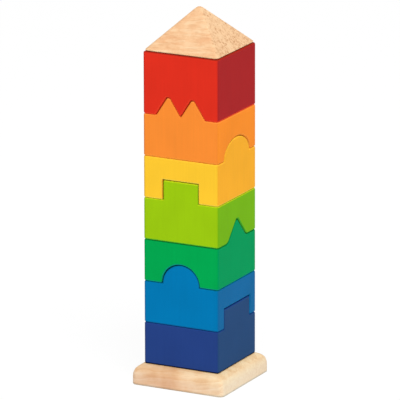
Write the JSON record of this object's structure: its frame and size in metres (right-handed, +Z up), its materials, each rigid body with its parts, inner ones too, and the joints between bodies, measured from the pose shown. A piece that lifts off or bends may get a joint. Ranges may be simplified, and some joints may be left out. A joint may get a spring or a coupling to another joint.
{
  "type": "stacking tower",
  "caption": "Square wooden stacking tower: painted blocks with interlocking shaped keys lift off a peg on a round-edged base, under a pyramid roof.",
  "frame": {"origin": "centre of the base plate's underside, on the axis of the peg", "axes": "+Z up the peg, -Y towards the face that shows the two teeth, +X to the right of that face"},
  "size_m": [0.074, 0.074, 0.276],
  "materials": {
    "plain_wood": "sanded pale hardwood under a thin clear coat",
    "indigo_paint": "satin indigo paint on wood",
    "blue_paint": "satin blue paint on wood",
    "green_paint": "satin green paint on wood",
    "lime_paint": "satin lime green paint on wood",
    "yellow_paint": "satin yellow paint on wood",
    "orange_paint": "satin orange paint on wood",
    "red_paint": "satin red paint on wood"
  },
  "bodies": {
    "base": {"base_plate": "plain_wood", "centre_peg": "plain_wood"},
    "indigo": {"indigo_block": "indigo_paint"},
    "blue": {"blue_block": "blue_paint"},
    "green": {"green_block": "green_paint"},
    "lime": {"lime_block": "lime_paint"},
    "yellow": {"yellow_block": "yellow_paint"},
    "orange": {"orange_block": "orange_paint"},
    "red": {"red_block": "red_paint"},
    "roof": {"roof": "plain_wood"}
  },
  "joints": [
    {"name": "indigo_lift", "type": "slide", "parent": "base", "child": "indigo", "axis": [0, 0, 1], "range_m": [0, 0.244]},
    {"name": "blue_lift", "type": "slide", "parent": "indigo", "child": "blue", "axis": [0, 0, 1], "range_m": [0, 0.213]},
    {"name": "green_lift", "type": "slide", "parent": "blue", "child": "green", "axis": [0, 0, 1], "range_m": [0, 0.182]},
    {"name": "lime_lift", "type": "slide", "parent": "green", "child": "lime", "axis": [0, 0, 1], "range_m": [0, 0.151]},
    {"name": "yellow_lift", "type": "slide", "parent": "lime", "child": "yellow", "axis": [0, 0, 1], "range_m": [0, 0.12]},
    {"name": "orange_lift", "type": "slide", "parent": "yellow", "child": "orange", "axis": [0, 0, 1], "range_m": [0, 0.089]},
    {"name": "red_lift", "type": "slide", "parent": "orange", "child": "red", "axis": [0, 0, 1], "range_m": [0, 0.058]},
    {"name": "roof_lift", "type": "slide", "parent": "red", "child": "roof", "axis": [0, 0, 1], "range_m": [0, 0.012]}
  ]
}
